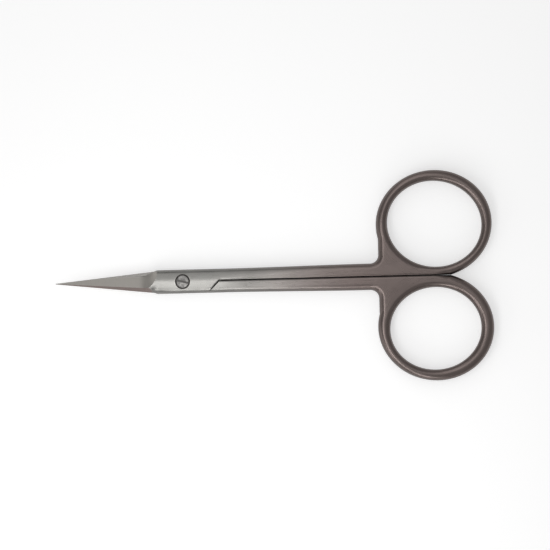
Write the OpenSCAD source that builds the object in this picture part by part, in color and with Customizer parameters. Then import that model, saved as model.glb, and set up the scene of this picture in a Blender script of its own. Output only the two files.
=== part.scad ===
// Manicure scissors: two forged halves with finger rings, turning on a slotted screw.
// The pivot axis is Z, the ground back of the joint lies on Z = 0, the blades point
// along -X and the rings along +X. The half with the +Y ring lies on top.
// Each half is drawn on its own lap plane, with its ring on +Y and its outer face up.
// The bottom half is the same drawing turned over about X.

/* [Joint] */
// Thickness through both halves at the joint
joint_t = 4; // [3.8:0.1:4.6]
// Width across the joint
joint_w = 4.86; // [4.6:0.1:5.4]
// Length of the joint on the blade side of the pivot
joint_fore = 4.9; // [4.4:0.1:5.4]
// Distance from the pivot to the shoulder, on the seam
shoulder_x = 7.6; // [7.2:0.1:8.6]
// Depth ground off the back of the joint to make it flat
back_grind = 0.2; // [0.15:0.05:0.3]
// Gap between the two lap faces
lap_gap = 0.04; // [0.02:0.01:0.08]

/* [Screw] */
// Diameter of the screw
screw_d = 1.9; // [1.6:0.1:2]
// Diameter of the screw head
head_d = 2.64; // [2.5:0.02:2.8]
// Height of the screw head
head_t = 0.85; // [0.7:0.05:1]
// Depth of the top of the head below the crown of the joint
head_sink = 0.22; // [0.1:0.02:0.3]
// Gap between the head and its recess
head_gap = 0.23; // [0.15:0.01:0.3]
// Width of the screwdriver slot
slot_w = 0.4; // [0.3:0.05:0.5]
// Depth of the screwdriver slot
slot_depth = 0.4; // [0.3:0.05:0.5]
// Direction of the slot, in degrees from X
slot_angle = -15; // [-90:1:90]

/* [Blades] */
// Distance from the pivot to the tips
blade_l = 26.05; // [24:0.5:28]
// Distance from the pivot to the root of the ground blade
blade_root = 8; // [7.5:0.1:9]
// Distance of the cutting edge from the centre line, at the root
edge_y = 1.22; // [1:0.02:1.4]
// Distance of the blade's back from the centre line, at the root
spine_y = 1.97; // [1.7:0.02:2.2]
// Distance from the pivot to where the cutting edge turns towards the tip
belly_x = 14.3; // [12:0.1:16]
// Width of the tip
tip_w = 0.14; // [0.1:0.02:0.3]
// Distance of the tips from the centre line
tip_y = 0.13; // [0:0.01:0.2]
// Thickness of the cutting edge
edge_t = 0.08; // [0.05:0.01:0.15]
// Angle of the ground face to the lap plane
wedge_angle = 30; // [26:1:32]
// Angle of the bevel along the blade's back
spine_angle = 48; // [40:1:55]
// Width of that bevel at the root
bevel_root = 0.85; // [0.6:0.05:1]
// Width of that bevel at the tip
bevel_tip = 0.06; // [0.04:0.02:0.1]
// Distance from the pivot to where the ground face starts to run out
runout_x = 9.3; // [8.5:0.1:10]
// Radius of the wheel that ground the blade, along the run-out
grind_r = 5.5; // [4.5:0.1:6.5]
// Depth of the hollow ground into the blade's inner face
hollow_depth = 0.12; // [0.08:0.01:0.14]
// Radius of that hollow
hollow_r = 6; // [5:0.5:7]
// Length of that hollow, from the joint to where it runs out
hollow_l = 16; // [12:0.5:17]

/* [Handles] */
// Distance from the centre line to the outer edge of a shank, at its ring
shank_w = 2.72; // [2.5:0.02:3]
// Thickness of the shanks
shank_t = 3.3; // [3:0.1:3.6]
// Gap between the closed shanks
seam_gap = 0.07; // [0.04:0.01:0.1]
// Draft of the forgings, which leans both seam faces to the same side, in degrees
seam_lean = 2.5; // [2:0.5:4]
// Rounding along the outer edges of the shanks and rings
edge_r = 1.2; // [0.9:0.05:1.3]
// Rounding of the shanks along the seam
seam_r = 0.4; // [0.2:0.05:0.5]
// Radius between the shank and the side of the ring
neck_r = 1.75; // [1.4:0.05:2.2]

/* [Rings] */
// Distance from the pivot to the middle of the rings
ring_x = 51.72; // [48:0.1:55]
// Outside length of a ring, along the scissors
ring_l = 23.8; // [22:0.1:25]
// Outside width of a ring, across the scissors
ring_w = 22; // [20:0.1:24]
// How far the outside of a ring would cross the centre line
ring_dip = 0.43; // [0.3:0.01:0.6]
// Thickness of a ring
ring_t = 2.8; // [2.4:0.1:3.2]
// Width of the rim round the top half's finger hole
top_rim = 2.22; // [1.9:0.02:2.6]
// Width of the rim round the bottom half's finger hole
bottom_rim = 2.56; // [2.2:0.02:3]

/* [Hidden] */

// Turn of each ring's outside and of its hole, in degrees away from the seam
top_turn = 3.9;
top_hole_turn = -8.7;
bottom_turn = 6;
bottom_hole_turn = -3.2;
// Places of the hole centres from the ring centres
top_hole_shift = [0.12, -0.03];
bottom_hole_shift = [-0.06, 0.32];
// How far the side of the ring is cut in to make the straight neck
neck_in = 0.37;
// Direction, seen from the hole, in which the web meets the shank
web_turn = 228;
// Power that slows the matching points of hole and seam where they leave the web
web_power = 1.75;
// Gap at the shoulders, along X, with the scissors closed
shoulder_gap = 0.14;
// Running clearance of the screw in the top half, on the radius
screw_fit = 0.03;
// Gap below the screw head, and depth of the screw's end below the ground back
seat_gap = 0.03;
end_sink = 0.08;
// Bevel round the screw head
head_bevel = 0.14;
// Shares of the half thickness left as an upright wall, on the handles and at the joint
wall_share = 0.14;
joint_wall_share = 0.26;
// Shares of the rim taken by the roundings outside and inside the ring
rim_out_share = 0.5;
rim_in_share = 0.46;

// Points over half a section, steps along each stretch, and facets of a circle
arc_n = 6;
seam_n = 16;
ring_n = 38;
neck_n = 3;
fillet_n = 7;
shank_n = 8;
shoulder_n = 4;
block_n = 4;
root_n = 7;
blade_n = 10;
runout_n = 10;
round_fn = 64;

half_w = joint_w / 2;
joint_h = joint_t / 2;
shank_h = shank_t / 2;
ring_h = ring_t / 2;
seam_y = seam_gap / 2;
ring_y = ring_w / 2 - ring_dip;
mid_w = (shank_w - seam_y) / 2;
corner_x = shoulder_x - half_w - seam_y;
neck_x = ring_x - ring_l / 2 + neck_in;
web_x = neck_x - neck_r;
lap_z = joint_h - back_grind;
screw_r = screw_d / 2;
head_r = head_d / 2;
head_top = joint_h - head_sink;
seat_z = head_top - head_t;
reach = blade_l + ring_x + ring_l;

// What the two halves don't share: turn of the ring; rim, turn and place of the hole;
// and side of the tip
top_spec = [top_turn, top_rim, top_hole_turn, top_hole_shift, tip_y];
bottom_spec = [bottom_turn, bottom_rim, bottom_hole_turn, bottom_hole_shift, -tip_y];

function mix(a, b, t) = a + (b - a) * t;
function ease(t) = let (u = min(1, max(0, t))) u * u * (3 - 2 * u);
function ramp(x, a, b) = ease((x - a) / (b - a));
function soft_min(a, b, s) = let (h = max(s - abs(a - b), 0) / s) min(a, b) - h * h * s / 4;
function spread(a, b, n) = [for (i = [1:n]) mix(a, b, i / n)];
function backwards(v) = [for (i = [len(v) - 1:-1:0]) v[i]];
function flipped(v) = [for (p = backwards(v)) [p[0], p[1], -p[2]]];

// Fall of a rounded edge at distance d from it, for a rounding r wide and depth deep
function fall(d, r, depth) = d >= r ? 0 : depth * (1 - sqrt(1 - pow(1 - max(d, 0) / r, 2)));

// Half thickness of the handle at x
function half_t(x) =
    joint_h + (shank_h - joint_h) * ramp(x, shoulder_x, 2 * shoulder_x + half_w)
    + (ring_h - shank_h) * ramp(x, web_x - neck_r, ring_x + ring_l / 4);

// Depth of the roundings at x, which leaves the upright wall
function round_depth(x) =
    half_t(x) * (1 - mix(joint_wall_share, wall_share, ramp(x, shoulder_x, 3 * shoulder_x)));

// Width of the rounding along the outer edge at x: a full crown at the joint
function round_w(x) = mix(half_w, min(edge_r, mid_w), ramp(x, corner_x, 3 * shoulder_x));

// Cutting edge, side of the joint and outer edge of the shank, at x
function edge_at(x, tip) =
    x >= -joint_fore ? mix(half_w, shank_w, ramp(x, shoulder_x, web_x))
    : x >= -blade_root ? mix(edge_y, half_w, ramp(x, -blade_root, -joint_fore))
    : soft_min(edge_y, mix(edge_y, tip + tip_w / 2, (x + belly_x) / (belly_x - blade_l)), edge_y / 8);

// Distance of the blade's back from the centre line at x
function spine_at(x, tip) =
    soft_min(half_w, mix(spine_y, tip_w / 2 - tip, (x + blade_root) / (blade_root - blade_l)), half_w / 8);

// Inner edge at x: the seam, the shoulder at 45 degrees, then the joint and the blade's back
function inner_at(x, tip) =
    x >= shoulder_x ? seam_y
    : x >= corner_x ? mix(-half_w, seam_y, (x - corner_x) / (shoulder_x - corner_x))
    : -spine_at(x, tip);

// Height of the shank, joint and unground blade above the lap plane
function bar_z(x, y, tip) =
    let (crown = ramp(x, -blade_root, -joint_fore), depth = round_depth(x) * mix(joint_wall_share, 1, crown))
    half_t(x)
    - fall(edge_at(x, tip) - y, round_w(x) * mix(joint_wall_share, 1, crown), depth)
    - (x < shoulder_x ? fall(y + spine_at(x, tip), half_w * mix(joint_wall_share, 1, crown), depth) : 0)
    - fall(y - inner_at(x, tip), seam_r, seam_r) * ramp(x, corner_x, shoulder_x);

// Points across the bar at x, from the outer edge to the inner one
function bar_section(x, tip) =
    [for (j = [0:2 * arc_n])
        let (y = mix(edge_at(x, tip), inner_at(x, tip), (1 - cos(90 * j / arc_n)) / 2))
        [x, y, bar_z(x, y, tip)]];

function bar_sections(tip) =
    [for (x = concat(
            [web_x],
            spread(web_x, shoulder_x, shank_n),
            spread(shoulder_x, corner_x, shoulder_n),
            spread(corner_x, -joint_fore, block_n),
            spread(-joint_fore, -blade_root, root_n),
            spread(-blade_root, -blade_l, blade_n)))
        bar_section(x, tip)];

// Point of a turned ellipse at parameter t, and the direction outwards there
function ellipse_at(c, a, b, turn, t) =
    c + [a * cos(t) * cos(turn) - b * sin(t) * sin(turn), a * cos(t) * sin(turn) + b * sin(t) * cos(turn)];
function ellipse_out(a, b, turn, t) =
    let (v = [b * cos(t) * cos(turn) - a * sin(t) * sin(turn), b * cos(t) * sin(turn) + a * sin(t) * cos(turn)])
    v / norm(v);

// Direction of v, counted on from the web's
function turn_of(v) = let (t = atan2(v[1], v[0])) t + 360 * ceil((web_turn - t) / 360);

// Stations round the handle, from the seam to the shank's outer edge. Each holds a point
// of the outline, the direction inwards, the direction from the hole to its matching
// point, and how far the seam's small rounding has grown into the ring's
function stations(spec) =
    let (
        turn = spec[0],
        a = ring_l / 2,
        b = ring_w / 2,
        c = [ring_x, ring_y],
        hole = c + spec[3],
        t1 = asin((seam_y - ring_y) / norm([a * sin(turn), b * cos(turn)])) - atan2(a * sin(turn), b * cos(turn)),
        t2 = 360 - acos((neck_x - ring_x) / norm([a * cos(turn), b * sin(turn)]))
            - atan2(b * sin(turn), a * cos(turn)),
        crotch = ellipse_at(c, a, b, turn, t1),
        neck = ellipse_at(c, a, b, turn, t2),
        hub = [web_x, shank_w + neck_r],
        low = turn_of([neck_x + edge_r, hub[1]] - hole)
    )
    concat(
        [for (i = [0:seam_n - 1])
            let (x = mix(web_x, crotch[0], i / seam_n))
            [[x, seam_y], [0, 1], mix(web_turn, turn_of(crotch - hole), pow(i / seam_n, web_power)),
                ramp(x, ring_x, crotch[0])]],
        [for (i = [0:ring_n - 1])
            let (t = mix(t1, t2, i / ring_n), p = ellipse_at(c, a, b, turn, t))
            [p, -ellipse_out(a, b, turn, t), turn_of(p - hole), 1]],
        [for (i = [0:neck_n - 1])
            [mix(neck, [neck_x, hub[1]], i / neck_n), [1, 0],
                mix(turn_of(neck - hole), low, i / neck_n), 1]],
        [for (i = [0:fillet_n])
            let (n = [cos(90 * i / fillet_n), -sin(90 * i / fillet_n)])
            [hub + neck_r * n, n, mix(low, web_turn + 360, i / fillet_n), 1]]
    );

// Points from a station's outer edge over the rounding, then from the flat over the
// rounding of the hole
function chain(station, spec) =
    let (
        p = station[0],
        a = ring_l / 2 - spec[1],
        b = ring_w / 2 - spec[1],
        turn = spec[2],
        v = station[2] - turn,
        t = atan2(a * sin(v), b * cos(v)),
        q = ellipse_at([ring_x, ring_y] + spec[3], a, b, turn, t),
        out = ellipse_out(a, b, turn, t),
        rim = (p - q) * out,
        near = min(mid_w, rim_out_share * rim),
        far = min(edge_r, rim_in_share * rim),
        r = min(near, mix(seam_r, edge_r, station[3]))
    )
    concat(
        [for (j = [0:arc_n])
            let (d = near * (1 - cos(90 * j / arc_n)), s = p + d * station[1])
            [s[0], s[1], half_t(s[0]) - fall(d, r, mix(seam_r, round_depth(s[0]), station[3]))]],
        [for (j = [arc_n:-1:0])
            let (d = far * (1 - cos(90 * j / arc_n)), s = q + d * out)
            [s[0], s[1], half_t(s[0]) - fall(d, far, round_depth(s[0]))]]
    );

// Two triangles between each pair of points of neighbouring rings of m points
function skin(count, m, from) =
    [for (i = [0:count - 2], j = [0:m - 1])
        let (a = from + i * m + j, b = from + i * m + (j + 1) % m)
        each [[a, b, b + m], [a, b + m, a + m]]];

// One half, solid and unground, with the full thickness everywhere. It leans by the draft,
// so that the closed seam lets no light through
module forging(spec) {
    loops = [for (s = stations(spec)) let (c = chain(s, spec)) concat(c, flipped(c))];
    bars = [for (s = bar_sections(spec[4])) concat(s, flipped(s))];
    loop_m = len(loops[0]);
    bar_m = len(bars[0]);
    points = [for (row = concat(loops, bars)) each [for (p = row) [p[0], p[1] + p[2] * tan(seam_lean), p[2]]]];
    tip_from = len(points) - bar_m;
    polyhedron(
        points,
        concat(
            skin(len(loops), loop_m, 0),
            skin(len(bars), bar_m, len(loops) * loop_m),
            [[for (j = [0:bar_m - 1]) tip_from + j]]
        )
    );
}

// Places along the blade where the grinding is drawn, and its height above the flat there
function grind_steps() =
    concat(
        [[-2 * blade_l, 0], [-blade_l, 0]],
        [for (x = spread(-blade_l, -runout_x, blade_n)) [x, 0]],
        [for (t = spread(0, 85, runout_n)) [grind_r * sin(t) - runout_x, grind_r * (1 - cos(t))]]
    );

// Height of the ground face on the centre line, and of the back's bevel there
function face_z(x, tip) = edge_t + edge_at(min(x, -blade_root), tip) * tan(wedge_angle);
function bevel_z(x, tip) =
    let (
        s = spine_at(min(x, -blade_root), tip),
        wide = mix(bevel_tip, bevel_root, (blade_l + min(x, -blade_root)) / (blade_l - blade_root))
    )
    face_z(x, tip) + (s - wide) * (tan(wedge_angle) + tan(spine_angle));

// What a wheel takes off above a surface that is straight across the blade
module ground_off(steps, slope) {
    w = joint_w;
    top = 4 * joint_t;
    rows = [for (s = steps)
        each [[s[0], -w, s[1] - w * slope], [s[0], -w, top], [s[0], w, top], [s[0], w, s[1] + w * slope]]];
    last = len(rows) - 4;
    polyhedron(rows, concat(skin(len(steps), 4, 0), [[3, 2, 1, 0]], [[for (j = [0:3]) last + j]]));
}

// One half, lapped and ground, without its hole
module half_blank(spec) {
    tip = spec[4];
    difference() {
        forging(spec);
        // the lap, up to the shoulder that faces the other half's
        translate([0, 0, lap_gap / 2 - joint_t])
            linear_extrude(joint_t)
                polygon([
                    [-reach, -joint_w],
                    [shoulder_x + shoulder_gap, -joint_w],
                    [shoulder_x + shoulder_gap, -seam_y],
                    [shoulder_x + shoulder_gap - joint_w - seam_y, joint_w],
                    [-reach, joint_w]
                ]);
        ground_off([for (s = grind_steps()) [s[0], s[1] + face_z(s[0], tip)]], -tan(wedge_angle));
        ground_off([for (s = grind_steps()) [s[0], s[1] + bevel_z(s[0], tip)]], tan(spine_angle));
        // the hollow, which rises along the middle of the blade
        translate([-joint_fore, (edge_y - spine_y) / 2, lap_gap / 2 + hollow_depth - hollow_r])
            rotate([0, -90 - atan(hollow_depth / hollow_l), atan2(tip - (edge_y - spine_y) / 2, joint_fore - blade_l)
                + 180])
                cylinder(h = blade_l, r = hollow_r, $fn = 2 * round_fn);
    }
}

// What is ground off the back of both halves, to the flat that the scissors lie on
module below_back() {
    translate([-blade_l, -joint_w, -joint_t])
        cube([blade_l + ring_x, 2 * joint_w, joint_t]);
}

module top_half() {
    color("#9a9692")
        difference() {
            translate([0, 0, lap_z])
                half_blank(top_spec);
            below_back();
            cylinder(h = joint_t, r = screw_r + screw_fit, $fn = round_fn);
            translate([0, 0, lap_z + seat_z - seat_gap])
                cylinder(h = joint_t, r = head_r + head_gap, $fn = round_fn);
        }
}

module bottom_half() {
    color("#8f8b87")
        difference() {
            translate([0, 0, lap_z])
                rotate([180, 0, 0])
                    half_blank(bottom_spec);
            below_back();
            translate([0, 0, -joint_t])
                cylinder(h = 2 * joint_t, r = screw_r, $fn = round_fn);
        }
}

module pivot_screw() {
    top = lap_z + head_top;
    color("#b4b0aa")
        difference() {
            rotate_extrude($fn = round_fn)
                polygon([
                    [0, end_sink],
                    [screw_r, end_sink],
                    [screw_r, top - head_t],
                    [head_r, top - head_t],
                    [head_r, top - head_bevel],
                    [head_r - head_bevel, top],
                    [0, top]
                ]);
            rotate([0, 0, slot_angle])
                translate([-head_d, -slot_w / 2, top - slot_depth])
                    cube([2 * head_d, slot_w, head_t]);
        }
}

top_half();
bottom_half();
pivot_screw();
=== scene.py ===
"""Manicure scissors in satin steel: two forged halves that turn on a slotted screw."""

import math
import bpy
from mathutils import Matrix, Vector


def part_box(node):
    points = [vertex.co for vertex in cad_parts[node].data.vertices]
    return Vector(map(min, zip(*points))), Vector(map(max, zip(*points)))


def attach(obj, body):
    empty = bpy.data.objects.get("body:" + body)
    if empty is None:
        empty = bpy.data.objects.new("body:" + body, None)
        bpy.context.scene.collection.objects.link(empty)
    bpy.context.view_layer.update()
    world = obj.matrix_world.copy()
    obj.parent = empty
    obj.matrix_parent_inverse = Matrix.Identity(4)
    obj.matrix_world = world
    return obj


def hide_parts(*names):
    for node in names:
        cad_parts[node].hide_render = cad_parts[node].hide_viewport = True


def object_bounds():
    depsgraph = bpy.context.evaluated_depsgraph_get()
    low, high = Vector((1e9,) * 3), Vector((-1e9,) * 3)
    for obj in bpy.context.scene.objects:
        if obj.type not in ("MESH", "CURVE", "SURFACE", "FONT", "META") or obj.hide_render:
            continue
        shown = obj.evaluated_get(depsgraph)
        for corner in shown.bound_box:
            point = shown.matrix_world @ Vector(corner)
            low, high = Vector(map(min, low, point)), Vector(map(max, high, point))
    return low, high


bl_info = {
    "name": "Manicure Scissors",
    "version": (1, 0, 0),
    "blender": (4, 5, 0),
    "location": "3D View > Sidebar > Scissors",
    "description": "Forged halves with ground blades, a slotted pivot screw and a pale stage",
    "category": "Add Mesh",
}

import bmesh
import bpy
from bpy.props import FloatProperty, FloatVectorProperty, PointerProperty
from mathutils import Matrix, Vector

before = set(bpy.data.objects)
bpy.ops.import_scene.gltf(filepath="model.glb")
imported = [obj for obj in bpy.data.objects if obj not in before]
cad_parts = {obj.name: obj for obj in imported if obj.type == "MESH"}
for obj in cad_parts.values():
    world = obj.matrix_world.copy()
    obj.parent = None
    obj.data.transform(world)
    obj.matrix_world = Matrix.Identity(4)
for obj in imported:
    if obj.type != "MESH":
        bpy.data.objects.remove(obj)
cad_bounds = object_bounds()

MM = 0.001
MERGE = 1e-4 * MM
# How far a new piece may differ from the solid that it stands for
FIT = 0.1 * MM
SHARP = math.radians(24)
WEAR = "wear"

# Points over half a section, steps along each stretch of a half, facets of a circle, and
# steps of the head's bevel
ARC_N = 12
SEAM_N = 44
RING_N = 150
NECK_N = 6
FILLET_N = 18
SHANK_N = 40
SHOULDER_N = 12
BLOCK_N = 26
ROOT_N = 26
BLADE_N = 44
RUNOUT_N = 24
ROUND_N = 96
HEAD_BEVEL_N = 6

# Where the handle has its own roundings, in shoulder distances from the pivot
HANDLE_FROM = 3
# Rounding of a corner in an outline, as a share of the width there
CORNER_SHARE = 1 / 8
# How far round the wheel the run-out is followed
RUNOUT_TURN = math.radians(85)


def length(name, text, mm):
    """A length property, with its default in millimetres."""
    return FloatProperty(name=name, description=text, default=mm * MM, precision=5, unit="LENGTH")


def angle(name, text, degrees):
    return FloatProperty(name=name, description=text, default=math.radians(degrees), unit="ROTATION")


def level(name, text, value):
    return FloatProperty(name=name, description=text, default=value, min=0.0)


def share(name, text, value):
    return FloatProperty(name=name, description=text, default=value, min=0.0, max=1.0, subtype="FACTOR")


def tint(name, text, value):
    return FloatVectorProperty(
        name=name, description=text, default=value, size=3, min=0.0, max=1.0, subtype="COLOR"
    )


class ScissorsJoint(bpy.types.PropertyGroup):
    """Sizes of the lap joint and its shoulders."""

    joint_t: length("Joint Thickness", "Thickness through both halves before the back is ground", 4.0)
    joint_w: length("Joint Width", "Width across the joint", 4.86)
    joint_fore: length("Joint Fore", "Length of the joint on the blade side of the pivot", 4.9)
    shoulder_x: length("Shoulder", "Distance from the pivot to the shoulder, on the seam", 7.6)
    shoulder_gap: length("Shoulder Gap", "Gap at the shoulders, along the scissors", 0.14)
    back_grind: length("Back Grind", "Depth ground off the back of the joint", 0.2)
    lap_gap: length("Lap Gap", "Gap between the two lap faces", 0.04)
    joint_wall: share("Joint Wall", "Share of the half thickness left upright at the joint", 0.26)


class ScissorsBlade(bpy.types.PropertyGroup):
    """Sizes of the ground blades."""

    blade_l: length("Blade Length", "Distance from the pivot to the tips", 26.05)
    blade_root: length("Blade Root", "Distance from the pivot to the root of the ground blade", 8.0)
    edge_y: length("Edge Offset", "Distance of the cutting edge from the centre line, at the root", 1.22)
    spine_y: length("Back Offset", "Distance of the blade's back from the centre line, at the root", 1.97)
    belly_x: length("Belly", "Distance from the pivot to where the edge turns towards the tip", 14.3)
    tip_w: length("Tip Width", "Width of the tip", 0.14)
    tip_y: length("Tip Offset", "Distance of the tips from the centre line", 0.13)
    edge_t: length("Edge Thickness", "Thickness of the cutting edge", 0.08)
    wedge: angle("Wedge Angle", "Angle of the ground face to the lap plane", 30.0)
    spine_slope: angle("Back Bevel Angle", "Angle of the bevel along the blade's back", 48.0)
    bevel_root: length("Back Bevel, Root", "Width of that bevel at the root", 0.85)
    bevel_tip: length("Back Bevel, Tip", "Width of that bevel at the tip", 0.06)
    runout_x: length("Run-out", "Distance from the pivot to where the ground face starts to run out", 9.3)
    grind_r: length("Grinding Radius", "Radius of the wheel along the run-out", 5.5)
    hollow_depth: length("Hollow Depth", "Depth of the hollow ground into the inner face", 0.12)
    hollow_r: length("Hollow Radius", "Radius of that hollow", 6.0)
    hollow_l: length("Hollow Length", "Length of that hollow", 16.0)


class ScissorsHandle(bpy.types.PropertyGroup):
    """Sizes of the shanks and finger rings."""

    shank_w: length("Shank Width", "Distance from the centre line to a shank's outer edge", 2.72)
    shank_t: length("Shank Thickness", "Thickness of the shanks", 3.3)
    seam_gap: length("Seam Gap", "Gap between the closed shanks", 0.07)
    seam_lean: angle("Seam Lean", "Draft that leans both seam faces to the same side", 2.5)
    edge_r: length("Edge Rounding", "Rounding along the outer edges", 1.2)
    seam_r: length("Seam Rounding", "Rounding along the seam", 0.4)
    neck_r: length("Neck Radius", "Radius between the shank and the side of the ring", 1.75)
    neck_in: length("Neck Cut", "How far the side of the ring is cut in at the neck", 0.37)
    ring_x: length("Ring Distance", "Distance from the pivot to the middle of the rings", 51.72)
    ring_l: length("Ring Length", "Outside length of a ring", 23.8)
    ring_w: length("Ring Width", "Outside width of a ring", 22.0)
    ring_dip: length("Ring Dip", "How far a ring would cross the centre line", 0.43)
    ring_t: length("Ring Thickness", "Thickness of a ring", 2.8)
    web_turn: angle("Web Direction", "Direction from the hole in which the web meets the shank", 228.0)
    web_power: level("Web Power", "How much slower the seam's matching points leave the web", 1.75)
    wall: share("Wall", "Share of the half thickness left upright on the handle", 0.14)
    rim_out: share("Outer Rounding", "Share of the rim taken by the outer rounding", 0.5)
    rim_in: share("Inner Rounding", "Share of the rim taken by the inner rounding", 0.46)
    top_rim: length("Top Rim", "Width of the rim round the top half's finger hole", 2.22)
    top_turn: angle("Top Ring Turn", "Turn of the top ring's outside", 3.9)
    top_hole_turn: angle("Top Hole Turn", "Turn of the top half's finger hole", -8.7)
    top_hole_x: length("Top Hole Shift", "Shift of that hole along the scissors", 0.12)
    top_hole_y: length("Top Hole Lift", "Shift of that hole across the scissors", -0.03)
    bottom_rim: length("Bottom Rim", "Width of the rim round the bottom half's finger hole", 2.56)
    bottom_turn: angle("Bottom Ring Turn", "Turn of the bottom ring's outside", 6.0)
    bottom_hole_turn: angle("Bottom Hole Turn", "Turn of the bottom half's finger hole", -3.2)
    bottom_hole_x: length("Bottom Hole Shift", "Shift of that hole along the scissors", -0.06)
    bottom_hole_y: length("Bottom Hole Lift", "Shift of that hole across the scissors", 0.32)


class ScissorsScrew(bpy.types.PropertyGroup):
    """Sizes of the pivot screw and of the holes that it sits in."""

    screw_d: length("Screw Diameter", "Diameter of the screw", 1.9)
    screw_fit: length("Running Fit", "Clearance of the screw in the top half, on the radius", 0.03)
    head_d: length("Head Diameter", "Diameter of the head", 2.64)
    head_t: length("Head Height", "Height of the head", 0.85)
    head_sink: length("Head Sink", "Depth of the head below the crown of the joint", 0.22)
    head_gap: length("Head Gap", "Gap between the head and its recess", 0.23)
    head_bevel: length("Head Bevel", "Bevel round the head", 0.14)
    seat_gap: length("Seat Gap", "Gap below the head", 0.03)
    end_sink: length("End Sink", "Depth of the screw's end below the ground back", 0.08)
    end_bevel: length("End Bevel", "Bevel round the screw's end", 0.1)
    slot_w: length("Slot Width", "Width of the screwdriver slot", 0.4)
    slot_depth: length("Slot Depth", "Depth of the screwdriver slot", 0.4)
    slot_turn: angle("Slot Direction", "Direction of the slot", -15.0)


class ScissorsFinish(bpy.types.PropertyGroup):
    """Colours and gloss of the steel, with the painted shade and painted light that some of them carry.
    """

    satin: tint("Satin Steel", "Brushed steel of the rings and shanks", (0.222, 0.181, 0.169))
    # Lighter tone round the joint: partly a finer polish, partly painted light where more light falls
    polish_and_light: tint("Polished Steel", "Finer brushed steel round the joint", (0.316, 0.31, 0.295))
    lapped: tint("Lapped Steel", "Dull steel of the lap faces and the ground back", (0.235, 0.227, 0.215))
    # Painted shade: upright sides are darkened to this share of their colour
    sides: share("Sides", "Brightness of upright sides beside the brushed faces", 0.45)
    ground: tint("Ground Steel", "Freshly ground steel of the blades", (0.5, 0.475, 0.44))
    worn: tint("Worn Edge", "Bare metal along the edges", (0.62, 0.6, 0.57))
    wear: share("Wear", "How much of the bare metal shows where an edge is rubbed most", 0.5)
    # Painted shade: near-black colour of the bores and of the recess round the screw head
    hole_shade: tint("Bored Steel", "Oiled steel down in the holes", (0.045, 0.042, 0.04))
    # Painted shade: the slot's darker colour stands in for the shade down in it
    slotted: tint("Slot Steel", "Dull steel in the screwdriver slot", (0.095, 0.091, 0.088))
    screw: tint("Screw Steel", "Turned steel of the screw", (0.2, 0.194, 0.187))
    satin_roughness: share("Satin Roughness", "Roughness of the brushed steel", 0.3)
    polished_roughness: share("Polished Roughness", "Roughness round the joint", 0.3)
    ground_roughness: share("Ground Roughness", "Roughness of the ground faces", 0.36)


class ScissorsStage(bpy.types.PropertyGroup):
    """Camera, lamps and floor."""

    view_w: length("View Width", "Width of the picture at the scissors", 112.5)
    view_x: length("View Centre X", "Middle of the picture along the scissors", 18.95)
    view_y: length("View Centre Y", "Middle of the picture across the scissors", 0.87)
    view_turn: angle("View Turn", "Turn of the scissors in the picture", 1.45)
    view_far: length("Camera Distance", "Distance of the camera from the scissors", 900.0)
    sky: level("Sky Level", "Level of the light from all round", 0.32)
    floor: tint("Floor", "Colour of the floor", (0.8, 0.8, 0.8))
    glow: level("Floor Glow", "Level that lifts the floor to white where it shows", 0.5)


def mix(a, b, t):
    return a + (b - a) * t


def ramp(x, a, b):
    """Smooth step from 0 at a to 1 at b."""
    t = min(1.0, max(0.0, (x - a) / (b - a)))
    return t * t * (3 - 2 * t)


def soft_min(a, b, blend):
    """The smaller of two values, with the corner between them rounded."""
    h = max(blend - abs(a - b), 0.0) / blend
    return min(a, b) - h * h * blend / 4


def spread(a, b, n):
    """The ends of n even steps from a to b."""
    return [mix(a, b, i / n) for i in range(1, n + 1)]


def fall(d, r, depth):
    """Drop at distance d from the edge of a rounding r wide and depth deep."""
    if d >= r:
        return 0.0
    return depth * (1 - math.sqrt(1 - (1 - max(d, 0.0) / r) ** 2))


def curl(i):
    """Distance of point i of a rounding from its edge, in radii."""
    return 1 - math.cos(math.pi / 2 * i / ARC_N)


def polar(t, r=1.0):
    return Vector((r * math.cos(t), r * math.sin(t)))


class Oval:
    """A turned ellipse."""

    def __init__(self, centre, a, b, turn):
        self.centre, self.a, self.b = centre, a, b
        self.turned = Matrix.Rotation(turn, 2)

    def at(self, t):
        return self.centre + self.turned @ Vector((self.a * math.cos(t), self.b * math.sin(t)))

    def out(self, t):
        """Direction outwards at parameter t."""
        return (self.turned @ Vector((self.b * math.cos(t), self.a * math.sin(t)))).normalized()


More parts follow.
